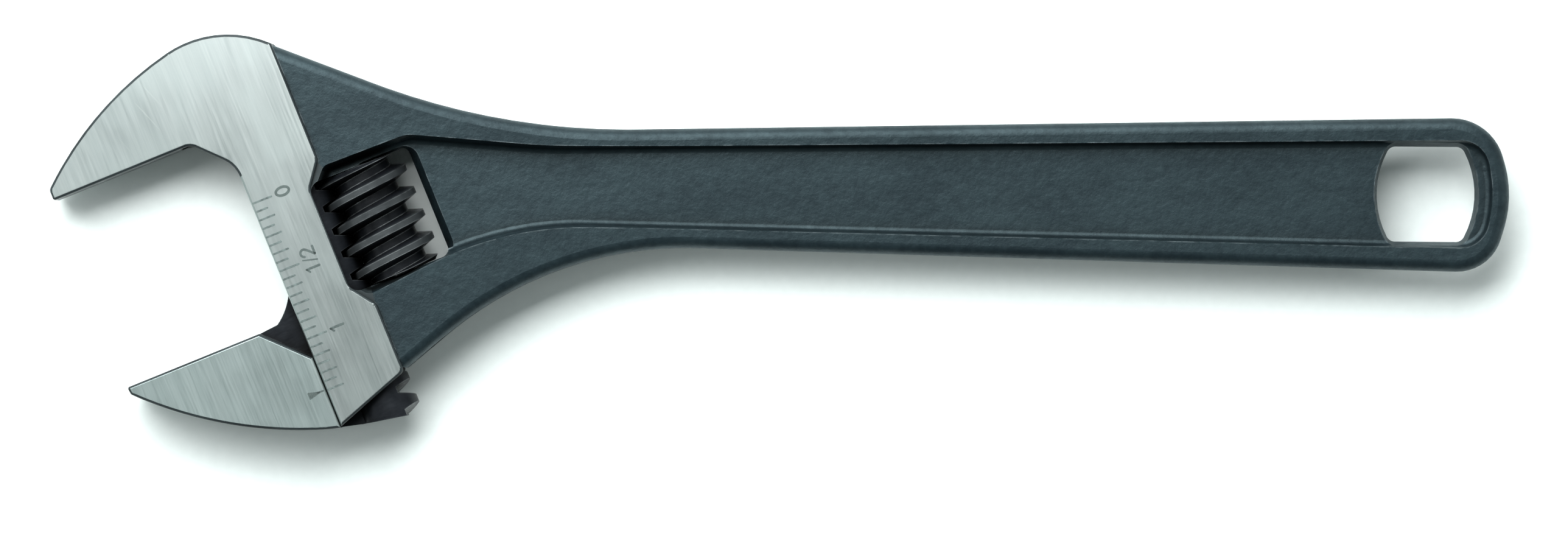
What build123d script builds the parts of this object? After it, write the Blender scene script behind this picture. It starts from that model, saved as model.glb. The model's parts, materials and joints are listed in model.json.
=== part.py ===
from build123d import *
import math
import os

# Adjustable wrench, jaws open.  Millimetres.
#
# Two frames are used.  The handle frame has x along the handle, with x = 0 at the tip of the
# fixed jaw, y towards the fixed jaw and z = 0 in the middle of the thickness.  The head frame
# (u, v) is turned by HEAD_ANGLE: u runs along the contact face of the fixed jaw, from its tip,
# and v is the direction in which the movable jaw closes.

# Whole wrench
HEAD_ANGLE = 22.5
HEAD_ORIGIN = (0.6, -1.97)
DRAFT = 12.0

# Ground faces of the head: the thickness depends on u alone, so both jaws stay flush
TIP_U = -0.5
GROUND_END_U = 45.0
TIP_HALF_THICKNESS = 5.6
HEAD_HALF_THICKNESS = 7.9
GROUND_EDGE_RADIUS = 0.45

# Jaws
JAW_FACE_LENGTH = 24.0
JAW_OPENING = 35.0
JAW_HEIGHT = 20.5
JAW_CHAMFER_DEPTH = 7.3
FRONT_LIP_U = 31.25
JAW_BACK_U = 31.1
THROAT_U = 25.3
THROAT_DEPTH = 6.2

# Slide: a round bar with a flat web, in a bore that is open at both ends and at the front
BAR_U = 39.8
BAR_RADIUS = 5.45
BORE_RADIUS = 5.55
WEB_HALF = 3.0
SLOT_HALF = 3.15
SLOT_CLEARANCE = 0.35
BAR_TOP_V = -12.8
BAR_BOTTOM_V = -57.35
BAR_BOTTOM_SLOPE = 10.8
WEB_TOP_V = -28.3
SLOT_TOP_V = 7.2
HEAD_BOTTOM_V = -60.0
HEAD_TOP_V = 20.0

# Worm and rack: single start, right-handed, six threads to the inch
WORM_U = 50.7
PITCH = 25.4 / 6
WORM_RADIUS = 7.8
WORM_ROOT_RADIUS = 5.3
CREST_WIDTH = 1.1
FLANK_SLOPE = 0.34
WORM_TOP_V = -14.4
WORM_LENGTH = 20.0
WORM_END_CHAMFER = 1.3
CREST_PHASE_V = -17.5
TOOTH_CLEARANCE = 0.12
RACK_ROOT_U = 42.5
RACK_GAPS = 11

# Window for the worm
WINDOW_LEFT_U = 41.6
WINDOW_RIGHT_U = 60.0
WINDOW_TOP_V = -14.2
WINDOW_BOTTOM_V = -34.6
WINDOW_CORNER = 1.3
WINDOW_INNER_CORNER = 2.0
WINDOW_BEVEL = 25.0
WINDOW_BEVEL_INSET = 1.0
GROUND_WINDOW_U = 41.8

# Worm pin and spring
PIN_RADIUS = 2.2
WORM_BORE_RADIUS = 2.28
PIN_BORE_RADIUS = 2.25
PIN_HEAD_RADIUS = 3.2
PIN_HEAD_BORE_RADIUS = 3.25
PIN_HEAD_BOTTOM_V = -46.8
PIN_HEAD_TOP_V = -41.0
PIN_TOP_V = -8.6
PIN_SLOT_WIDTH = 0.9
PIN_SLOT_DEPTH = 1.2
SPRING_RADIUS = 2.9
SPRING_WIRE_RADIUS = 0.35
SPRING_TURNS = 6.5
COUNTERBORE_RADIUS = 3.6
COUNTERBORE_DEPTH = 7.4

# Handle: rims all round a thinner web
NECK_HALF_THICKNESS = 5.2
SHOULDER_HALF_THICKNESS = 7.1
END_HALF_THICKNESS = 4.6
HANDLE_WEB_HALF = 2.8
RIM_RADIUS = 2.0
POCKET_FLOOR_RADIUS = 0.9
HANDLE_END_X = 254.0
REACH = 80.0

# Hanging hole
HOLE_CENTRE = (239.55, 0.7)
HOLE_LENGTH = 17.1
HOLE_WIDTH = 16.6
HOLE_CROWN = 2.3
HOLE_CORNER = 1.6

HEAD_PLANE = Plane(
    origin=(HEAD_ORIGIN[0], HEAD_ORIGIN[1], 0),
    x_dir=Vector(1, 0, 0).rotate(Axis.Z, HEAD_ANGLE),
    z_dir=(0, 0, 1),
)


def head_point(u, v):
    """Handle-frame point of a head-frame point."""
    point = HEAD_PLANE.from_local_coords(Vector(u, v, 0))
    return (point.X, point.Y)


def in_head(shape):
    """Move a shape drawn in the head frame to its place in the handle frame."""
    return HEAD_PLANE.location * shape


def rounded_polygon(corners):
    """Face of a closed polygon: each corner is (x, y, radius)."""
    points = [(x, y) for x, y, radius in corners]
    radii = [radius for x, y, radius in corners]
    return make_face(FilletPolyline(*points, radius=radii, close=True))


def ground_half_thickness(u):
    """Half thickness of the ground faces at a distance u from the jaw tip."""
    share = (u - TIP_U) / (GROUND_END_U - TIP_U)
    return TIP_HALF_THICKNESS + share * (HEAD_HALF_THICKNESS - TIP_HALF_THICKNESS)


def ground_plate(outline):
    """Plate of the given outline between the two ground faces, with its edges broken."""
    near, far = -10.0, 60.0
    section = Plane.XZ * Polygon(
        (near, -ground_half_thickness(near)),
        (far, -ground_half_thickness(far)),
        (far, ground_half_thickness(far)),
        (near, ground_half_thickness(near)),
        align=None,
    )
    wedge = extrude(section, REACH, both=True)
    plate = extrude(outline, HEAD_HALF_THICKNESS + 2, both=True) & wedge
    faces = plate.faces().sort_by(SortBy.AREA)[-2:]
    return fillet(faces[0].edges() + faces[1].edges(), GROUND_EDGE_RADIUS)


def round_corner(face, corner, radius):
    """Round the corner of a face that lies nearest to a point."""
    return fillet(face.vertices().sort_by_distance(Vector(*corner, 0))[0], radius)


def fixed_jaw_outline():
    """Bright ground area of the head: fixed jaw, crown and the bar's housing."""
    back = ThreePointArc((TIP_U, 2.0), (13.5, 11.5), (27.5, 16.35))
    crown = TangentArc((27.5, 16.35), (GROUND_END_U, 11.1), tangent=back % 1)
    rest = Polyline(
        (GROUND_END_U, 11.1),
        (GROUND_END_U, -10.7),
        (GROUND_WINDOW_U, -15.0),
        (GROUND_WINDOW_U, -33.4),
        (GROUND_END_U, -37.8),
        (GROUND_END_U, -50.5),
        (FRONT_LIP_U, -55.25),
        (FRONT_LIP_U, -THROAT_DEPTH),
        (THROAT_U, 0),
        (TIP_U, 0),
        (TIP_U, 2.0),
    )
    face = make_face([back, crown, rest])
    face = round_corner(face, (TIP_U, 2.0), 1.2)
    face = round_corner(face, (TIP_U, 0), 0.4)
    face = round_corner(face, (THROAT_U, 0), 2.8)
    face = round_corner(face, (FRONT_LIP_U, -THROAT_DEPTH), 5.5)
    face = round_corner(face, (GROUND_END_U, -10.7), 1.6)
    face = round_corner(face, (GROUND_WINDOW_U, -15.0), 2.4)
    face = round_corner(face, (GROUND_WINDOW_U, -33.4), 2.4)
    face = round_corner(face, (GROUND_END_U, -37.8), 2.0)
    face = round_corner(face, (GROUND_END_U, -50.5), 1.3)
    return face


def forging_outline():
    """Black forging: shoulder and handle, with its near end hidden in the ground head."""
    return rounded_polygon([
        (*head_point(40.0, 8.0), 0),
        (*head_point(44.6, 11.2), 0),
        (78.0, 10.53, 124.0),
        (250.8, 14.15, 9.2),
        (254.85, 0.65, 20.0),
        (250.9, -12.95, 8.0),
        (87.4, -9.04, 65.0),
        (*head_point(45.6, -50.15), 0),
        (*head_point(43.4, -48.6), 0),
        (*head_point(40.0, -46.0), 0),
    ])


def forging():
    """Shoulder and handle, thick at the head, thinning to the neck and on to the end."""
    half_section = [
        (20.0, SHOULDER_HALF_THICKNESS),
        (64.0, SHOULDER_HALF_THICKNESS),
        (106.0, NECK_HALF_THICKNESS),
        (HANDLE_END_X + 10, END_HALF_THICKNESS),
    ]
    upper = FilletPolyline(*half_section, radius=[300.0, 300.0])
    lower = mirror(upper, Plane.XZ)
    ends = [Line(upper @ 0, lower @ 0), Line(upper @ 1, lower @ 1)]
    section = Plane.XZ * make_face([upper, lower, *ends])
    slab = extrude(section, REACH, both=True)
    blank = extrude(forging_outline(), SHOULDER_HALF_THICKNESS + 2, both=True) & slab
    flats = [face for face in blank.faces() if abs(face.normal_at().Z) > 0.9]
    rims = ShapeList()
    for face in flats:
        for edge in face.edges():
            if is_outer_rim(edge):
                rims.append(edge)
    return fillet(rims, RIM_RADIUS)


def is_outer_rim(edge):
    """True for an edge along the visible outline, not across the handle or inside the head."""
    inside_head = HEAD_PLANE.to_local_coords(edge @ 0.5).X < GROUND_END_U - 0.2
    start, end = edge @ 0, edge @ 1
    across = abs(start.X - end.X) < 0.01 and abs(start.Y - end.Y) > 2 * RIM_RADIUS
    return not inside_head and not across


def pocket_outline():
    """Floor of the recess that runs from the worm window along the handle to its end."""
    return rounded_polygon([
        (*head_point(45.8, -13.0), 1.0),
        (*head_point(60.6, -13.3), 5.0),
        (86.0, 7.3, 120.0),
        (249.3, 9.8, 4.8),
        (251.0, 0.65, 22.0),
        (249.2, -8.4, 4.8),
        (78.6, -5.22, 60.0),
        (*head_point(44.8, -34.95), 1.0),
        (*head_point(42.9, -32.7), 1.5),
        (*head_point(42.9, -16.2), 1.5),
    ])


def pocket():
    """Recess cutters for both sides, with drafted walls and a rounded foot."""
    floor = Pos(0, 0, HANDLE_WEB_HALF) * pocket_outline()
    cutter = extrude(floor, HEAD_HALF_THICKNESS, taper=-DRAFT)
    bottom = cutter.faces().sort_by(Axis.Z)[0]
    cutter = fillet(bottom.edges(), POCKET_FLOOR_RADIUS)
    return [cutter, mirror(cutter, Plane.XY)]


def window():
    """Through opening for the worm, bevelled towards the handle."""
    width = WINDOW_RIGHT_U - WINDOW_LEFT_U
    height = WINDOW_TOP_V - WINDOW_BOTTOM_V
    middle = (WINDOW_TOP_V + WINDOW_BOTTOM_V) / 2
    face = Pos(WINDOW_LEFT_U + width / 2, middle) * Rectangle(width, height)
    for v in (WINDOW_TOP_V, WINDOW_BOTTOM_V):
        face = round_corner(face, (WINDOW_RIGHT_U, v), WINDOW_CORNER)
        face = round_corner(face, (WINDOW_LEFT_U, v), WINDOW_INNER_CORNER)
    through = extrude(face, HEAD_HALF_THICKNESS + 1, both=True)
    bevel_face = Pos(WINDOW_RIGHT_U - width / 4, middle) * RectangleRounded(
        width / 2, height - 2 * WINDOW_BEVEL_INSET, WINDOW_CORNER
    )
    bevel = extrude(bevel_face, HANDLE_WEB_HALF + 0.1, taper=-WINDOW_BEVEL)
    return [in_head(cut) for cut in (through, bevel, mirror(bevel, Plane.XY))]


def hanging_hole():
    """Barrel-shaped hole with drafted walls, narrowest in the middle of the thickness."""
    x = HOLE_LENGTH / 2
    y = HOLE_WIDTH / 2
    edges = [
        ThreePointArc((HOLE_CROWN - x, -y), (-x, 0), (HOLE_CROWN - x, y)),
        Line((HOLE_CROWN - x, y), (x - HOLE_CROWN, y)),
        ThreePointArc((x - HOLE_CROWN, y), (x, 0), (x - HOLE_CROWN, -y)),
        Line((x - HOLE_CROWN, -y), (HOLE_CROWN - x, -y)),
    ]
    face = make_face(edges)
    face = Pos(*HOLE_CENTRE) * fillet(face.vertices(), HOLE_CORNER)
    half = extrude(face, END_HALF_THICKNESS + 2, taper=-DRAFT)
    return [half, mirror(half, Plane.XY)]


def along_v(u, radius, bottom_v, top_v):
    """Cylinder along the closing direction, between two v values."""
    blank = Cylinder(radius, top_v - bottom_v, align=(Align.CENTER, Align.CENTER, Align.MIN))
    return Pos(u, bottom_v, 0) * Rot(-90, 0, 0) * blank


def slide_channel():
    """Through bore for the bar and the slot for the web, open at the bottom and the front."""
    bore = along_v(BAR_U, BORE_RADIUS, HEAD_BOTTOM_V, HEAD_TOP_V)
    mouth_u = JAW_FACE_LENGTH - 2 * SLOT_CLEARANCE
    nose = (27.6, 0.3 + SLOT_CLEARANCE)
    slot_face = make_face([
        Polyline(
            (30.5, SLOT_TOP_V),
            (BAR_U, SLOT_TOP_V),
            (BAR_U, HEAD_BOTTOM_V),
            (mouth_u, HEAD_BOTTOM_V),
            (mouth_u, SLOT_CLEARANCE),
            nose,
        ),
        ThreePointArc(nose, (29.6, 2.3 + SLOT_CLEARANCE), (30.5, SLOT_TOP_V)),
    ])
    slot = extrude(slot_face, SLOT_HALF, both=True)
    return [in_head(bore), in_head(slot)]


def pin_holes():
    """Stepped hole for the worm pin, from the underside of the head to above the window."""
    blind_end = PIN_TOP_V + 0.3
    shank = along_v(WORM_U, PIN_BORE_RADIUS, HEAD_BOTTOM_V, blind_end)
    head = along_v(WORM_U, PIN_HEAD_BORE_RADIUS, HEAD_BOTTOM_V, PIN_HEAD_TOP_V)
    return [in_head(shank), in_head(head)]


def make_body():
    """Handle, head and fixed jaw: one forging, ground bright on the sides of the head."""
    body = in_head(ground_plate(fixed_jaw_outline())) + forging()
    for cut in [*pocket(), *window(), *hanging_hole(), *slide_channel(), *pin_holes()]:
        body -= cut
    return body


def movable_jaw_outline():
    """Bright ground area of the movable jaw."""
    face_v = -JAW_OPENING
    tip = (-0.9, face_v)
    belly = ThreePointArc((-0.7, face_v - 1.4), (11.5, face_v - 11.5), (28.0, face_v - 19.6))
    heel = TangentArc(belly @ 1, (JAW_BACK_U, face_v - JAW_HEIGHT), tangent=belly % 1)
    rest = Polyline(
        (JAW_BACK_U, face_v - JAW_HEIGHT),
        (JAW_BACK_U, face_v - JAW_CHAMFER_DEPTH),
        (JAW_FACE_LENGTH, face_v),
        tip,
        (-0.7, face_v - 1.4),
    )
    face = make_face([belly, heel, rest])
    face = round_corner(face, tip, 0.4)
    face = round_corner(face, (-0.7, face_v - 1.4), 0.5)
    return face


def jaw_web():
    """Flat web between the jaw and the bar."""
    face_v = -JAW_OPENING
    bottom = face_v - JAW_HEIGHT
    nose = ThreePointArc((27.4, face_v + 0.3), (29.6, face_v + 2.2), (31.3, face_v + 4.7))
    rest = Polyline(
        (31.3, face_v + 4.7),
        (33.6, WEB_TOP_V),
        (BAR_U, WEB_TOP_V),
        (BAR_U, bottom - 2.1),
        (JAW_BACK_U - 1.0, bottom + 0.3),
        (JAW_FACE_LENGTH - 1.0, face_v - 3.0),
        (JAW_FACE_LENGTH, face_v),
        (27.4, face_v + 0.3),
    )
    return extrude(make_face([nose, rest]), WEB_HALF, both=True)


def worm_half_width(radius, clearance=0.0):
    """Half width of the worm's thread at a distance from its axis."""
    return CREST_WIDTH / 2 + FLANK_SLOPE * (WORM_RADIUS - radius) + clearance


def rack_gaps():
    """Tooth gaps of the rack, tilted by the lead angle of the worm."""
    gap_root = WORM_U - RACK_ROOT_U
    gap_mouth = WORM_U - BAR_U - BAR_RADIUS - 0.5
    lead_angle = math.degrees(math.atan(PITCH / (math.pi * (WORM_RADIUS + WORM_ROOT_RADIUS))))
    root = worm_half_width(gap_root, TOOTH_CLEARANCE)
    mouth = worm_half_width(gap_mouth, TOOTH_CLEARANCE)
    face = Polygon(
        (-gap_root, -root),
        (-gap_mouth, -mouth),
        (-gap_mouth, mouth),
        (-gap_root, root),
        align=None,
    )
    gap = Rot(-lead_angle, 0, 0) * extrude(face, BAR_RADIUS + 2, both=True)
    first_v = CREST_PHASE_V + PITCH / 2
    return [Pos(WORM_U, first_v - index * PITCH, 0) * gap for index in range(RACK_GAPS)]


def make_movable_jaw():
    """Movable jaw with its web and the toothed slide bar."""
    bar = along_v(BAR_U, BAR_RADIUS, BAR_BOTTOM_V - 2, BAR_TOP_V)
    bar = chamfer(bar.faces().sort_by(Axis.Y)[-1].edges(), 0.8)
    for gap in rack_gaps():
        bar -= gap
    below = Pos(BAR_U, BAR_BOTTOM_V, 0) * Rot(0, 0, -BAR_BOTTOM_SLOPE) * Box(
        30, 10, 30, align=(Align.CENTER, Align.MAX, Align.CENTER)
    )
    return in_head(ground_plate(movable_jaw_outline()) + jaw_web() + bar - below)


def thread_groove():
    """One turn of the groove between the worm's threads."""
    inner = WORM_ROOT_RADIUS
    outer = WORM_RADIUS + 0.4
    inner_half = PITCH / 2 - worm_half_width(inner)
    outer_half = PITCH / 2 - worm_half_width(outer)
    section = Plane.XZ * Polygon(
        (inner, -inner_half),
        (outer, -outer_half),
        (outer, outer_half),
        (inner, inner_half),
        align=None,
    )
    return sweep(section, Helix(PITCH, PITCH, inner), is_frenet=True)


def make_worm():
    """Worm with a single right-handed thread, bored for the pin and the spring."""
    bottom_v = WORM_TOP_V - WORM_LENGTH
    worm = Cylinder(WORM_RADIUS, WORM_LENGTH, align=(Align.CENTER, Align.CENTER, Align.MIN))
    worm = chamfer(worm.edges().filter_by(GeomType.CIRCLE), WORM_END_CHAMFER)
    # on the handle side of the worm a crest lies at CREST_PHASE_V, half a pitch from a groove
    start = (CREST_PHASE_V - bottom_v) % PITCH - 1.5 * PITCH
    groove = thread_groove()
    turns = math.ceil(WORM_LENGTH / PITCH) + 2
    for turn in range(turns):
        worm -= Pos(0, 0, start + turn * PITCH) * groove
    worm -= Cylinder(WORM_BORE_RADIUS, 3 * WORM_LENGTH)
    worm -= Cylinder(COUNTERBORE_RADIUS, 2 * COUNTERBORE_DEPTH)
    return in_head(Pos(WORM_U, bottom_v, 0) * Rot(-90, 0, 0) * worm)


def make_worm_pin():
    """Screw pin of the worm, with a screwdriver slot in its lower end."""
    shank = along_v(WORM_U, PIN_RADIUS, PIN_HEAD_TOP_V - 1, PIN_TOP_V)
    shank = chamfer(shank.faces().sort_by(Axis.Y)[-1].edges(), 0.5)
    head = along_v(WORM_U, PIN_HEAD_RADIUS, PIN_HEAD_BOTTOM_V, PIN_HEAD_TOP_V)
    head = chamfer(head.faces().sort_by(Axis.Y)[0].edges(), 0.4)
    slot = Pos(WORM_U, PIN_HEAD_BOTTOM_V, 0) * Box(
        2 * PIN_HEAD_RADIUS + 1, 2 * PIN_SLOT_DEPTH, PIN_SLOT_WIDTH
    )
    return in_head(shank + head - slot)


def make_worm_spring():
    """Coil spring round the pin, between the worm and the lower wall of the window."""
    length = COUNTERBORE_DEPTH - 2 * SPRING_WIRE_RADIUS
    path = Helix(length / SPRING_TURNS, length, SPRING_RADIUS)
    wire = Plane(origin=path @ 0, z_dir=path % 0) * Circle(SPRING_WIRE_RADIUS)
    coil = sweep(wire, path, is_frenet=True)
    start = WINDOW_BOTTOM_V + SPRING_WIRE_RADIUS + 0.05
    return in_head(Pos(WORM_U, start, 0) * Rot(-90, 0, 0) * coil)


def make_nodes():
    """Every piece in the handle frame, by node name."""
    return {
        "body": make_body(),
        "movable_jaw": make_movable_jaw(),
        "worm": make_worm(),
        "worm_pin": make_worm_pin(),
        "worm_spring": make_worm_spring(),
    }


def origin_shift(nodes):
    """Move that puts the origin in the middle of the underside of the wrench's box."""
    box = nodes["body"].bounding_box()
    for shape in nodes.values():
        box = box.add(shape.bounding_box())
    return Pos(-box.center().X, -box.center().Y, -box.min.Z)


def main():
    os.makedirs("parts", exist_ok=True)
    nodes = make_nodes()
    shift = origin_shift(nodes)
    for name, shape in nodes.items():
        export_step(shift * shape, "parts/" + name + ".step")


main()
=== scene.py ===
import json
import math
import bmesh
import bpy
from mathutils import Matrix, Vector


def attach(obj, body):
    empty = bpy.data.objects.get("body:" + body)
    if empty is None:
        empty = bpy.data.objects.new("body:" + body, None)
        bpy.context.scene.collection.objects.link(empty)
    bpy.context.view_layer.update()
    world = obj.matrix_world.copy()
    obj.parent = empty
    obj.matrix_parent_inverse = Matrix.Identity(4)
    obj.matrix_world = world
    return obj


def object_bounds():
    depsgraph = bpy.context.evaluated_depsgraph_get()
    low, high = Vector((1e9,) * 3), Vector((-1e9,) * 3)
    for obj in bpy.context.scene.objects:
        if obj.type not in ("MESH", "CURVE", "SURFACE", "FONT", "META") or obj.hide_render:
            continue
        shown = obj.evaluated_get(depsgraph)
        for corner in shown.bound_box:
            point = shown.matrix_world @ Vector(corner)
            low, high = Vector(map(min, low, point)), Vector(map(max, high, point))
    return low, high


# Looks of an adjustable wrench, in metres. The CAD nodes keep their shapes and get materials here;
# the scale, its numerals and the jaw's arrow are added as thin inlays on the ground faces.

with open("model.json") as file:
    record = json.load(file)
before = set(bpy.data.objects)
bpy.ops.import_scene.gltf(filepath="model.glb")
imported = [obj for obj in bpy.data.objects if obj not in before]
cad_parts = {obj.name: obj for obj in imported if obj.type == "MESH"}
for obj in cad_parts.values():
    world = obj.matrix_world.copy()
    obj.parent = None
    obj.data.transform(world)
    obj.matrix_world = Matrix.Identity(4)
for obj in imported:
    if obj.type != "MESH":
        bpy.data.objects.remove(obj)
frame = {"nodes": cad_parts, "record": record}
cad_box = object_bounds()

MM = 0.001
HEAD_TURN = math.radians(22.5)

# Head frame: u along the fixed jaw's face from its tip, v the way the movable jaw closes
# BORE_RADIUS and WEB_HALF are a little over the real ones, so that no face is missed
JAW_FACE_END_U = 24.0 * MM
JAW_OPENING = 35.0 * MM
LIP_U = 31.25 * MM
BAR_U = 39.8 * MM
WORM_U = 50.7 * MM
BORE_RADIUS = 5.6 * MM
WEB_HALF = 3.05 * MM

# Ground faces of the head: a shallow wedge, thickest at the forging
TIP_U = -0.5 * MM
GROUND_END_U = 45.0 * MM
TIP_HALF = 5.6 * MM
ROOT_HALF = 7.9 * MM

# How near a face's middle lies to its plane, and how deep the rounded edges of the slide gap reach
FACE_FIT = 0.02 * MM
EDGE_DEPTH = 0.6 * MM

# Scale on the head, in sixteenths of an inch
SIXTEENTH = 25.4 * MM / 16
SCALE_START_U = 31.55 * MM
SCALE_ZERO_V = -13.6 * MM
SCALE_MARKS = 23
HALF_INCH_MARK = 3.5 * MM
EIGHTH_MARK = 2.8 * MM
SIXTEENTH_MARK = 2.1 * MM
MARK_WIDTH = 0.34 * MM
INK_HEIGHT = 0.03 * MM

# Numerals: the top of each is towards -u, and its right towards +v
NUMERAL_U = 37.15 * MM
NUMERAL_HALF_HEIGHT = 1.2 * MM
NUMERAL_HALF_WIDTH = 0.72 * MM
STEM_TOP = 1.25 * MM
ZERO_WIDTH = 0.46 * MM
STROKE_WIDTH = 0.42 * MM
FRACTION_BAR_WIDTH = 0.26 * MM
FRACTION_BAR_LEAN = 0.35 * MM

# Arrow on the movable jaw: a head of short strokes that get shorter, and a shaft
ARROW_U = 28.1 * MM
ARROW_LENGTH = 1.8 * MM
ARROW_ROWS = 7
ARROW_ROW_WIDTH = 0.36 * MM
ARROW_BASE_REACH = 0.5 * MM
ARROW_TIP_REACH = 0.06 * MM
SHAFT_START_U = 29.6 * MM
SHAFT_END_U = 30.7 * MM
SHAFT_WIDTH = 0.3 * MM

# Corners that round off a stroke's end, as shares of its width
END_REACH = 0.35
END_HALF = 0.27

# Stage
FLOOR_SIZE = 3.0
FLOOR_CELLS = 12
FLOOR_GAP = 0.02 * MM
SOFT_WHITE = (0.96, 1.0, 0.99)
LENS_MM = 250
VIEW_WIDTH = 273.5 * MM
VIEW_DEPTH = 4 * MM
VIEW_SHIFT = Vector((0.79, -6.18)) * MM
VIEW_ROLL = math.radians(0.41)


# Frames ------------------------------------------------------------------------------------

def head_matrix():
    """Turns places in the head frame into places in the wrench's own frame."""
    face = next(m for m in frame["record"]["mounts"] if m["name"] == "fixed_jaw_face")
    v = -Vector(face["axis"]).normalized()
    w = Vector((0, 0, 1))
    u = v.cross(w)
    origin = Vector(face["pos_m"]) - JAW_FACE_END_U / 2 * u
    turn = Matrix((u, v, w)).transposed().to_4x4()
    return Matrix.Translation(origin) @ turn


HEAD = head_matrix()
TO_HEAD = HEAD.inverted()


def ground_half(u):
    """Half thickness of the ground faces at u."""
    return TIP_HALF + (u - TIP_U) / (GROUND_END_U - TIP_U) * (ROOT_HALF - TIP_HALF)


# Shader nodes ------------------------------------------------------------------------------

class Shader:
    """A material's node tree, with short calls for the nodes used in this file."""

    def __init__(self, name, metallic, specular=0.5):
        self.material = bpy.data.materials.new(name)
        self.material.use_nodes = True
        self.tree = self.material.node_tree
        self.bsdf = self.tree.nodes["Principled BSDF"]
        self.bsdf.inputs["Metallic"].default_value = metallic
        self.bsdf.inputs["Specular IOR Level"].default_value = specular
        self.where = self.add("TexCoord").outputs["Object"]

    def add(self, kind, **settings):
        """New node, with its settings."""
        node = self.tree.nodes.new("ShaderNode" + kind)
        for name, value in settings.items():
            setattr(node, name, value)
        return node

    def put(self, value, socket):
        """Link a socket, or set a value."""
        if isinstance(value, bpy.types.NodeSocket):
            self.tree.links.new(value, socket)
        else:
            socket.default_value = value

    def calc(self, operation, first, second):
        """One operation of the Math node on two values."""
        node = self.add("Math", operation=operation)
        self.put(first, node.inputs[0])
        self.put(second, node.inputs[1])
        return node.outputs["Value"]

    def times(self, first, second):
        """Product of two values."""
        return self.calc("MULTIPLY", first, second)

    def blend(self, first, second, share):
        """Value between first and second, with that share of the second."""
        return self.calc("ADD", self.times(first, 1 - share), self.times(second, share))

    def spread(self, value, low, high, to_low=0.0, to_high=1.0):
        """A value's range low to high, mapped and clamped to another."""
        node = self.add("MapRange")
        self.put(value, node.inputs["Value"])
        ends = {"From Min": low, "From Max": high, "To Min": to_low, "To Max": to_high}
        for name, number in ends.items():
            node.inputs[name].default_value = number
        return node.outputs["Result"]

    def mix(self, share, first, second):
        """Colour between first and second, with that share of the second."""
        node = self.add("Mix", data_type="RGBA")
        self.put(share, node.inputs["Factor"])
        self.put(first, node.inputs["A"])
        self.put(second, node.inputs["B"])
        return node.outputs["Result"]

    def stretched(self, scale, turn=0.0):
        """Object coordinates, turned about Z and then scaled."""
        turned = self.add("VectorRotate", rotation_type="Z_AXIS")
        self.put(self.where, turned.inputs["Vector"])
        turned.inputs["Angle"].default_value = -turn
        node = self.add("VectorMath", operation="MULTIPLY")
        self.put(turned.outputs["Vector"], node.inputs[0])
        node.inputs[1].default_value = scale
        return node.outputs["Vector"]

    def noise(self, scale, turn=0.0, detail=3.0, roughness=0.55):
        """Noise in 0 to 1, with its cycles per metre along each axis."""
        node = self.add("TexNoise")
        self.put(self.stretched(scale, turn), node.inputs["Vector"])
        node.inputs["Scale"].default_value = 1.0
        node.inputs["Detail"].default_value = detail
        node.inputs["Roughness"].default_value = roughness
        return node.outputs["Fac"]

    def roughness(self, noise, at_low, at_high):
        """Roughness that follows a noise, most of whose values lie in 0.3 to 0.7."""
        return self.spread(noise, 0.3, 0.7, at_low, at_high)

    def edges(self, radius, low=0.03, high=0.3):
        """Mask of the convex edges, where a rounded normal leaves the real one; used for rubbing
        by use, and on the worm also for a painted highlight.
        """
        bevel = self.add("Bevel", samples=6)
        bevel.inputs["Radius"].default_value = radius
        surface = self.add("NewGeometry").outputs["Normal"]
        dot = self.add("VectorMath", operation="DOT_PRODUCT")
        self.put(bevel.outputs["Normal"], dot.inputs[0])
        self.put(surface, dot.inputs[1])
        return self.spread(dot.outputs["Value"], 1 - low, 1 - high)

    def recess(self, distance, low=0.45, high=0.85):
        """Ambient occlusion mask for painted shade: 0 deep in corners and grooves, 1 on open
        faces.
        """
        shade = self.add("AmbientOcclusion", samples=8)
        shade.inputs["Distance"].default_value = distance
        return self.spread(shade.outputs["AO"], low, high)

    def off_axis(self, u):
        """Distance from a line along v, at u and half way up the head."""
        place = self.add("VectorMath", operation="SUBTRACT")
        self.put(self.where, place.inputs[0])
        place.inputs[1].default_value = HEAD @ Vector((u, 0, 0))
        across = self.add("VectorMath", operation="CROSS_PRODUCT")
        self.put(place.outputs["Vector"], across.inputs[0])
        across.inputs[1].default_value = HEAD.to_3x3() @ Vector((0, 1, 0))
        length = self.add("VectorMath", operation="LENGTH")
        self.put(across.outputs["Vector"], length.inputs[0])
        return length.outputs["Value"]

    def bump(self, height, distance, strength=1.0, under=None):
        """Normal of a relief, on top of another relief's where one is given."""
        node = self.add("Bump")
        node.inputs["Strength"].default_value = strength
        node.inputs["Distance"].default_value = distance
        self.put(height, node.inputs["Height"])
        if under is not None:
            self.put(under, node.inputs["Normal"])
        return node.outputs["Normal"]

    def finish(self, color, roughness, normal):
        """Connect the surface and hand over the material."""
        self.put(color, self.bsdf.inputs["Base Color"])
        self.put(roughness, self.bsdf.inputs["Roughness"])
        self.put(normal, self.bsdf.inputs["Normal"])
        return self.material


def rgb(red, green, blue):
    """Opaque colour."""
    return (red, green, blue, 1.0)


# Materials ---------------------------------------------------------------------------------

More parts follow.
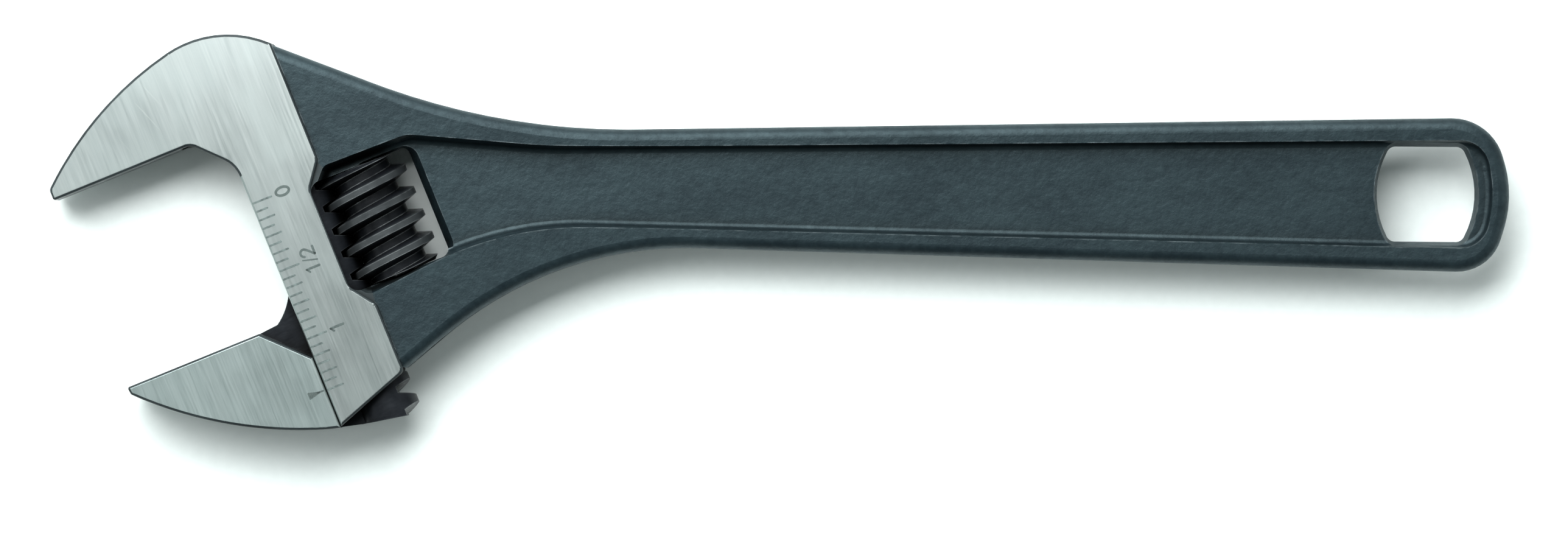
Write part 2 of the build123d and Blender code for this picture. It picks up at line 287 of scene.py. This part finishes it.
def ground_steel(name, dark, light):
    """Belt-ground side faces: fine lines across the jaw, soft bands and faint handling marks."""
    handled = rgb(0.30, 0.35, 0.34)
    scratched = rgb(0.66, 0.69, 0.68)
    scratch_turn = HEAD_TURN + 0.35
    s = Shader(name, metallic=1.0)
    lines = s.noise((3200, 70, 3200), HEAD_TURN, detail=4.0, roughness=0.7)
    bands = s.noise((260, 14, 260), HEAD_TURN, detail=2.0)
    cloud = s.noise((70, 70, 70), HEAD_TURN, detail=4.0, roughness=0.6)
    scratches = s.spread(s.noise((900, 26, 900), scratch_turn, detail=2.0), 0.70, 0.76)
    color = s.mix(s.spread(s.blend(lines, bands, 0.55), 0.34, 0.66), dark, light)
    color = s.mix(s.spread(cloud, 0.5, 0.8, 0.0, 0.25), color, handled)
    color = s.mix(s.times(scratches, 0.25), color, scratched)
    rough = s.roughness(s.blend(cloud, lines, 0.5), 0.27, 0.36)
    normal = s.bump(lines, 0.006 * MM, 0.6)
    normal = s.bump(bands, 0.03 * MM, 0.5, normal)
    return s.finish(color, rough, normal)


def black_forging():
    """Drop-forged steel, blasted and blackened: matte, faintly mottled, rubbed on its edges, with
    painted shade darkening its corners and recesses.
    """
    dark = rgb(0.003, 0.007, 0.010)
    light = rgb(0.011, 0.019, 0.023)
    # Colour of the painted shade in corners and recesses
    painted_shade = rgb(0.001, 0.001, 0.001)
    rubbed = rgb(0.26, 0.30, 0.32)
    s = Shader("black_forging_finish", metallic=0.2, specular=0.42)
    s.bsdf.inputs["Specular Tint"].default_value = rgb(0.72, 0.93, 1.0)
    grain = s.noise((1900, 1900, 1900), detail=3.0, roughness=0.6)
    pits = s.noise((620, 620, 620), detail=4.0, roughness=0.65)
    cloud = s.noise((55, 110, 110), detail=3.0)
    mottle = s.blend(pits, cloud, 0.5)
    color = s.mix(s.spread(mottle, 0.40, 0.60), dark, light)
    # Painted shade: the colour goes to near black where the ambient occlusion mask finds corners
    # and recesses.
    color = s.mix(s.recess(4.0 * MM, 0.5, 0.9), painted_shade, color)
    uneven = s.spread(s.noise((420, 420, 420), detail=3.0), 0.42, 0.66)
    rub = s.times(s.edges(0.5 * MM), uneven)
    color = s.mix(s.times(rub, 0.55), color, rubbed)
    rough = s.calc("SUBTRACT", s.roughness(mottle, 0.54, 0.42), s.times(rub, 0.12))
    normal = s.bump(grain, 0.035 * MM, 0.55)
    normal = s.bump(pits, 0.16 * MM, 0.6, normal)
    return s.finish(color, rough, normal)


def black_wall():
    """Trimmed and blackened side walls of the head, with fine vertical tool marks and painted
    shade darkening their corners.
    """
    dark = rgb(0.014, 0.019, 0.021)
    light = rgb(0.030, 0.039, 0.042)
    # Colour of the painted shade in corners
    painted_shade = rgb(0.002, 0.003, 0.003)
    rubbed = rgb(0.20, 0.23, 0.23)
    s = Shader("black_wall_finish", metallic=0.3, specular=0.25)
    marks = s.noise((900, 900, 60), HEAD_TURN, detail=3.0)
    cloud = s.noise((90, 90, 90), detail=3.0)
    color = s.mix(s.spread(cloud, 0.35, 0.7), dark, light)
    # Painted shade: the colour goes to near black where the ambient occlusion mask finds corners.
    color = s.mix(s.recess(3.0 * MM), painted_shade, color)
    rub = s.times(s.edges(0.3 * MM), s.spread(cloud, 0.42, 0.6))
    color = s.mix(s.times(rub, 0.25), color, rubbed)
    return s.finish(color, s.roughness(marks, 0.46, 0.60), s.bump(marks, 0.03 * MM, 0.5))


def black_machined(name, scale, edge_wear_and_sheen_strength, crest_wear_and_sheen_u=None):
    """Machined and blackened steel: near black, satin, with cutter marks, rubbed edges and painted
    shade in its grooves and corners.

    Given the u of an axis along v, the crests that stand out from that axis are painted a little
    brighter all round: partly rubbed bright by use, partly a painted highlight.
    """
    dark = rgb(0.005, 0.006, 0.008)
    light = rgb(0.014, 0.016, 0.020)
    # Colour of the painted shade in grooves and corners
    painted_shade = rgb(0.001, 0.001, 0.001)
    # Colour of the brighter crests: partly rubbed bright by use, partly a painted highlight
    crest_wear_and_sheen = rgb(0.045, 0.050, 0.053)
    rubbed = rgb(0.30, 0.32, 0.33)
    s = Shader(name, metallic=0.5, specular=0.2)
    cutter = s.noise(scale, HEAD_TURN, detail=3.0, roughness=0.6)
    cloud = s.noise((160, 160, 160), detail=4.0, roughness=0.6)
    color = s.mix(s.spread(cloud, 0.35, 0.68), dark, light)
    # Painted shade: the colour goes to near black where the ambient occlusion mask finds grooves
    # and corners.
    color = s.mix(s.recess(2.5 * MM, 0.3, 0.8), painted_shade, color)
    if crest_wear_and_sheen_u is not None:
        # Partly rubbed bright by use and partly a painted highlight: crests far from the axis are
        # painted brighter all round.
        crest = s.spread(s.off_axis(crest_wear_and_sheen_u), 7.0 * MM, 7.8 * MM)
        crest_wear_and_sheen_mask = s.times(crest, s.spread(cloud, 0.3, 0.6, 0.6, 1.0))
        color = s.mix(crest_wear_and_sheen_mask, color, crest_wear_and_sheen)
    # Rubbed edges: rubbing by use, and on the worm, with its high strength, also a painted
    # highlight along the thread crests.
    rub = s.times(s.edges(0.35 * MM, 0.02, 0.22), s.spread(cloud, 0.36, 0.6))
    color = s.mix(s.times(rub, edge_wear_and_sheen_strength), color, rubbed)
    return s.finish(color, s.roughness(cutter, 0.30, 0.46), s.bump(cutter, 0.025 * MM, 0.5))


def jaw_face():
    """Machined contact faces: dark, with fine lines across the face and bright rubbed spots."""
    dark = rgb(0.085, 0.095, 0.098)
    light = rgb(0.15, 0.165, 0.168)
    bright = rgb(0.42, 0.45, 0.45)
    s = Shader("jaw_face_finish", metallic=0.85)
    lines = s.noise((2600, 400, 90), HEAD_TURN, detail=3.0, roughness=0.65)
    spots = s.noise((230, 230, 120), HEAD_TURN, detail=4.0, roughness=0.6)
    color = s.mix(s.spread(lines, 0.35, 0.65), dark, light)
    color = s.mix(s.spread(spots, 0.52, 0.72, 0.0, 0.6), color, bright)
    return s.finish(color, s.roughness(lines, 0.32, 0.48), s.bump(lines, 0.02 * MM, 0.6))


def burnished_edge():
    """Rounded edges of the slide gap, rubbed bright and soft by wiping."""
    dark = rgb(0.24, 0.28, 0.275)
    light = rgb(0.33, 0.37, 0.365)
    s = Shader("burnished_edge_finish", metallic=1.0)
    wipe = s.noise((900, 90, 900), HEAD_TURN, detail=3.0)
    color = s.mix(s.spread(wipe, 0.35, 0.65), dark, light)
    return s.finish(color, s.roughness(wipe, 0.40, 0.50), s.bump(wipe, 0.01 * MM, 0.4))


def pin_steel():
    """Turned screw pin, dulled by oil."""
    dark = rgb(0.11, 0.12, 0.125)
    light = rgb(0.24, 0.25, 0.26)
    oily = rgb(0.05, 0.052, 0.05)
    s = Shader("pin_steel_finish", metallic=0.9)
    rings = s.noise((300, 2600, 300), HEAD_TURN, detail=2.0)
    cloud = s.noise((420, 420, 420), detail=3.0)
    color = s.mix(s.spread(rings, 0.35, 0.65), dark, light)
    color = s.mix(s.spread(cloud, 0.5, 0.75, 0.0, 0.5), color, oily)
    return s.finish(color, s.roughness(cloud, 0.28, 0.46), s.bump(rings, 0.02 * MM, 0.4))


def spring_steel():
    """Drawn spring wire with a straw tint and dark die lines."""
    dark = rgb(0.34, 0.335, 0.32)
    light = rgb(0.50, 0.49, 0.46)
    s = Shader("spring_steel_finish", metallic=1.0)
    draw = s.noise((1500, 5200, 1500), HEAD_TURN, detail=2.0)
    cloud = s.noise((800, 800, 800), detail=2.0)
    color = s.mix(s.spread(cloud, 0.35, 0.65), dark, light)
    return s.finish(color, s.roughness(draw, 0.24, 0.42), s.bump(draw, 0.01 * MM, 0.5))


def ink(name, light, patch):
    """Etched marking: grey-black, thinner and greyer in patches."""
    dark = rgb(0.050, 0.066, 0.064)
    s = Shader(name, metallic=0.3)
    patches = s.noise((1400, 1400, 1400), detail=3.0, roughness=0.6)
    color = s.mix(s.spread(patches, 0.38, 0.66, 0.0, patch), dark, light)
    return s.finish(color, s.roughness(patches, 0.50, 0.68), s.bump(patches, 0.02 * MM, 0.5))


def floor_paper():
    """Seamless white paper."""
    dark = rgb(0.88, 0.92, 0.912)
    light = rgb(0.91, 0.95, 0.942)
    s = Shader("floor_paper", metallic=0.0, specular=0.1)
    fibre = s.noise((500, 500, 500), detail=4.0)
    color = s.mix(s.spread(fibre, 0.3, 0.7), dark, light)
    return s.finish(color, s.roughness(fibre, 0.85, 0.95), s.bump(fibre, 0.01 * MM, 0.3))


# CAD nodes ---------------------------------------------------------------------------------

def give_materials(node, materials, choose):
    """Fill the node's slots from a dictionary; choose(place, normal) gives each face's key."""
    mesh = frame["nodes"][node].data
    mesh.materials.clear()
    for material in materials.values():
        mesh.materials.append(material)
    slots = {key: index for index, key in enumerate(materials)}
    turn = TO_HEAD.to_3x3()
    for face in mesh.polygons:
        face.material_index = slots[choose(TO_HEAD @ face.center, turn @ face.normal)]


def cover(node, material):
    """One material all over a node."""
    give_materials(node, {"all": material}, lambda place, normal: "all")


def near(value, target):
    """True when a face's middle lies on a plane."""
    return abs(value - target) < FACE_FIT


def on_ground_face(place, normal):
    """True on the flat, ground side faces of the head and the movable jaw."""
    return (
        abs(normal.z) > 0.99
        and place.x < GROUND_END_U
        and near(abs(place.z), ground_half(place.x))
    )


def under_ground_face(place):
    """True in the thin layers next to the ground faces, where the rounded edges are."""
    return abs(place.z) > ground_half(place.x) - EDGE_DEPTH


def body_finish(place, normal):
    """Which of the body's materials a face gets."""
    u, v = place.x, place.y
    if on_ground_face(place, normal):
        return "ground"
    on_lip = LIP_U - 0.05 * MM < u < LIP_U + 0.5 * MM and v < -9 * MM
    if on_lip and normal.x < -0.05 and under_ground_face(place):
        return "burnished"
    if near(v, 0) and normal.y < -0.99 and u < JAW_FACE_END_U + 2 * MM:
        return "contact"
    if math.hypot(u - BAR_U, place.z) < BORE_RADIUS and abs(normal.y) < 0.5:
        return "slide"
    return "wall" if u < GROUND_END_U + FACE_FIT else "forging"


def jaw_finish(place, normal):
    """Which of the movable jaw's materials a face gets."""
    u, v = place.x, place.y
    if on_ground_face(place, normal) and u < LIP_U:
        return "ground"
    if near(v, -JAW_OPENING) and normal.y > 0.99 and u < JAW_FACE_END_U + 1 * MM:
        return "contact"
    if u > LIP_U - 0.65 * MM and normal.x > 0.05 and under_ground_face(place):
        return "burnished"
    on_web = abs(place.z) < WEB_HALF and v > -JAW_OPENING - 8 * MM and u > JAW_FACE_END_U
    if on_web or u > LIP_U - 0.2 * MM:
        return "slide"
    return "wall"


# Inlays ------------------------------------------------------------------------------------

def rounded_end(left, right, way):
    """Narrower pair of corners beyond a stroke's first pair (way -1) or last pair (way 1)."""
    across = right - left
    along = Vector((across.y, -across.x)) * way
    middle = (left + right) / 2 + along * END_REACH
    return middle - across * END_HALF, middle + across * END_HALF


def ink_ring(bm, left, right):
    """Four vertices round a stroke's section: left foot, left top, right top, right foot."""
    ring = []
    for (u, v), side in ((left, -1), (left, 1), (right, 1), (right, -1)):
        place = Vector((u, v, ground_half(u) + side * INK_HEIGHT))
        ring.append(bm.verts.new(HEAD @ place))
    return ring


def ink_stroke(bm, points, width, closed):
    """Ribbon with rounded ends along (u, v) points, a hair proud of the ground face."""
    last = len(points) - 1
    pairs = []
    for index, point in enumerate(points):
        before = points[index - 1] if index or closed else point
        after = points[(index + 1) % len(points)] if index < last or closed else point
        along = (Vector(after) - Vector(before)).normalized()
        across = Vector((-along.y, along.x)) * width / 2
        pairs.append((Vector(point) - across, Vector(point) + across))
    if not closed:
        pairs.insert(0, rounded_end(*pairs[0], -1))
        pairs.append(rounded_end(*pairs[-1], 1))
    rings = [ink_ring(bm, left, right) for left, right in pairs]
    if closed:
        rings.append(rings[0])
    else:
        bm.faces.new(rings[0])
        bm.faces.new(rings[-1])
    for ring, following in zip(rings, rings[1:]):
        for side in range(4):
            beside = (side + 1) % 4
            bm.faces.new((ring[side], ring[beside], following[beside], following[side]))


def inlay(name, strokes, material, body):
    """One mesh piece from strokes, each (points, width, closed)."""
    bm = bmesh.new()
    for points, width, closed in strokes:
        ink_stroke(bm, points, width, closed)
    bmesh.ops.recalc_face_normals(bm, faces=bm.faces)
    mesh = bpy.data.meshes.new(name)
    bm.to_mesh(mesh)
    bm.free()
    mesh.materials.append(material)
    piece = bpy.data.objects.new(name, mesh)
    bpy.context.scene.collection.objects.link(piece)
    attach(piece, body)


def straight(start, end, width):
    """Straight stroke, with a point half way."""
    middle = ((start[0] + end[0]) / 2, (start[1] + end[1]) / 2)
    return ([start, middle, end], width, False)


def arc(centre, radius_u, radius_v, first, last, steps):
    """Points of an elliptic arc; 0 degrees points to +v, 90 degrees to -u."""
    points = []
    for step in range(steps + 1):
        angle = math.radians(first + (last - first) * step / steps)
        u = centre[0] - radius_u * math.sin(angle)
        v = centre[1] + radius_v * math.cos(angle)
        points.append((u, v))
    return points


def scale_strokes():
    """Marks of the scale: longer at the eighths, longest at the half inches."""
    strokes = []
    for index in range(SCALE_MARKS):
        v = SCALE_ZERO_V - index * SIXTEENTH
        if index % 8 == 0:
            length = HALF_INCH_MARK
        elif index % 2 == 0:
            length = EIGHTH_MARK
        else:
            length = SIXTEENTH_MARK
        strokes.append(straight((SCALE_START_U, v), (SCALE_START_U + length, v), MARK_WIDTH))
    return strokes


def glyph_zero(v):
    """Closed ellipse."""
    ring = arc((NUMERAL_U, v), NUMERAL_HALF_HEIGHT, NUMERAL_HALF_WIDTH, 0, 345, 23)
    return [(ring, ZERO_WIDTH, True)]


def glyph_one(v):
    """Stem with a short flag at its top."""
    stem = straight((NUMERAL_U - STEM_TOP, v), (NUMERAL_U + NUMERAL_HALF_HEIGHT, v), STROKE_WIDTH)
    flag_start = (NUMERAL_U - NUMERAL_HALF_HEIGHT, v - 0.05 * MM)
    flag_end = (NUMERAL_U - 0.75 * MM, v - 0.6 * MM)
    return [stem, ([flag_start, flag_end], MARK_WIDTH, False)]


def glyph_two(v):
    """Bowl that runs down to the left end of a straight foot."""
    foot_u = NUMERAL_U + NUMERAL_HALF_HEIGHT
    foot_left = (foot_u, v - NUMERAL_HALF_WIDTH)
    foot_right = (foot_u, v + NUMERAL_HALF_WIDTH)
    bowl = arc((NUMERAL_U - 0.55 * MM, v), 0.65 * MM, 0.66 * MM, 170, -50, 18)
    bowl.append(foot_left)
    return [(bowl, STROKE_WIDTH, False), straight(foot_left, foot_right, STROKE_WIDTH)]


def fraction_bar(v):
    """Leaning bar between the two numerals of a half."""
    foot = (NUMERAL_U + STEM_TOP, v - FRACTION_BAR_LEAN)
    top = (NUMERAL_U - STEM_TOP, v + FRACTION_BAR_LEAN)
    return [straight(foot, top, FRACTION_BAR_WIDTH)]


def numeral_strokes():
    """Inches: 0, a half and 1, read from below upwards."""
    half_v = SCALE_ZERO_V - 8 * SIXTEENTH
    one_v = SCALE_ZERO_V - 16 * SIXTEENTH
    return [
        *glyph_zero(SCALE_ZERO_V + 0.1 * MM),
        *glyph_one(half_v - 1.5 * MM),
        *fraction_bar(half_v - 0.1 * MM),
        *glyph_two(half_v + 1.35 * MM),
        *glyph_one(one_v + 0.15 * MM),
    ]


def arrow_strokes():
    """Arrow on the movable jaw that points at the scale."""
    v = SCALE_ZERO_V - 22 * SIXTEENTH + 0.15 * MM
    strokes = [straight((SHAFT_START_U, v), (SHAFT_END_U, v), SHAFT_WIDTH)]
    for row in range(ARROW_ROWS):
        share = row / (ARROW_ROWS - 1)
        u = ARROW_U + share * ARROW_LENGTH
        reach = ARROW_BASE_REACH + share * (ARROW_TIP_REACH - ARROW_BASE_REACH)
        strokes.append(straight((u, v - reach), (u, v + reach), ARROW_ROW_WIDTH))
    return strokes


# Stage -------------------------------------------------------------------------------------

def make_floor():
    """Seamless sheet under the wrench."""
    bm = bmesh.new()
    bmesh.ops.create_grid(bm, x_segments=FLOOR_CELLS, y_segments=FLOOR_CELLS, size=FLOOR_SIZE)
    mesh = bpy.data.meshes.new("floor")
    bm.to_mesh(mesh)
    bm.free()
    mesh.materials.append(floor_paper())
    floor = bpy.data.objects.new("floor", mesh)
    floor.location.z = cad_box[0].z - FLOOR_GAP
    bpy.context.scene.collection.objects.link(floor)


def area_light(name, place, target, size, energy, color=SOFT_WHITE):
    """Rectangular lamp at a place, aimed at a target and hidden from the camera."""
    light = bpy.data.lights.new(name, "AREA")
    light.shape = "RECTANGLE"
    light.size, light.size_y = size
    light.energy = energy
    light.color = color
    lamp = bpy.data.objects.new(name, light)
    lamp.location = place
    lamp.rotation_euler = (Vector(target) - Vector(place)).to_track_quat("-Z", "Y").to_euler()
    lamp.visible_camera = False
    bpy.context.scene.collection.objects.link(lamp)


def make_lights():
    """Soft key and a long strip beyond the head, weak side fills and a small glow at the crown."""
    area_light("key", (-0.24, 0.50, 0.74), (0, 0, 0), (0.95, 0.70), 19.0)
    area_light("strip", (0, 0.95, 0.52), (0, 0, 0), (1.40, 0.16), 6.0)
    area_light("left", (-0.85, -0.08, 0.46), (-0.05, 0, 0), (0.60, 0.60), 1.9)
    area_light("right", (0.85, -0.02, 0.46), (0.05, 0, 0), (0.60, 0.60), 1.8)
    area_light("glow", (-0.095, 0.062, 0.12), (-0.095, 0.052, 0), (0.09, 0.04), 0.038, (1, 1, 1))


def make_surround():
    """Pale light from all round."""
    world = bpy.data.worlds.new("surround")
    bpy.context.scene.world = world
    world.use_nodes = True
    background = world.node_tree.nodes["Background"]
    background.inputs["Color"].default_value = rgb(0.84, 0.98, 0.96)
    background.inputs["Strength"].default_value = 0.23


def make_camera():
    """Long lens, straight down, a little off the wrench's middle and rolled a little.

    VIEW_WIDTH is what the frame spans at VIEW_DEPTH below the top of the head.
    """
    data = bpy.data.cameras.new("camera")
    data.lens = LENS_MM
    data.clip_end = 20
    camera = bpy.data.objects.new("camera", data)
    middle = (cad_box[0] + cad_box[1]) / 2
    level = cad_box[1].z - VIEW_DEPTH
    distance = VIEW_WIDTH * data.lens / data.sensor_width
    camera.location = (middle.x + VIEW_SHIFT.x, middle.y + VIEW_SHIFT.y, level + distance)
    camera.rotation_euler = (0, 0, VIEW_ROLL)
    bpy.context.scene.collection.objects.link(camera)
    bpy.context.scene.camera = camera
    bpy.context.scene.view_settings.view_transform = "Standard"


# Build -------------------------------------------------------------------------------------

wall = black_wall()
contact = jaw_face()
slide = black_machined("black_slide_finish", (500, 2400, 500), 0.2)
burnished = burnished_edge()
body_steel = ground_steel("ground_steel_body", rgb(0.305, 0.340, 0.338), rgb(0.380, 0.410, 0.408))
jaw_steel = ground_steel("ground_steel_jaw", rgb(0.335, 0.395, 0.392), rgb(0.410, 0.468, 0.465))

body_materials = {
    "ground": body_steel,
    "forging": black_forging(),
    "wall": wall,
    "contact": contact,
    "slide": slide,
    "burnished": burnished,
}
jaw_materials = {
    "ground": jaw_steel,
    "wall": wall,
    "contact": contact,
    "slide": slide,
    "burnished": burnished,
}
give_materials("body", body_materials, body_finish)
give_materials("movable_jaw", jaw_materials, jaw_finish)
# On the worm, the brighter crests and strongly rubbed edges are partly a painted highlight.
cover("worm", black_machined("black_worm_finish", (700, 2600, 700), 0.75, WORM_U))
cover("worm_pin", pin_steel())
cover("worm_spring", spring_steel())

mark_ink = ink("scale_ink", rgb(0.16, 0.20, 0.195), 0.7)
numeral_ink = ink("numeral_ink", rgb(0.09, 0.115, 0.11), 0.6)
inlay("scale_marks", scale_strokes(), mark_ink, "wrench_body")
inlay("scale_numerals", numeral_strokes(), numeral_ink, "wrench_body")
inlay("jaw_arrow", arrow_strokes(), numeral_ink, "sliding_jaw")

make_floor()
make_lights()
make_surround()
make_camera()
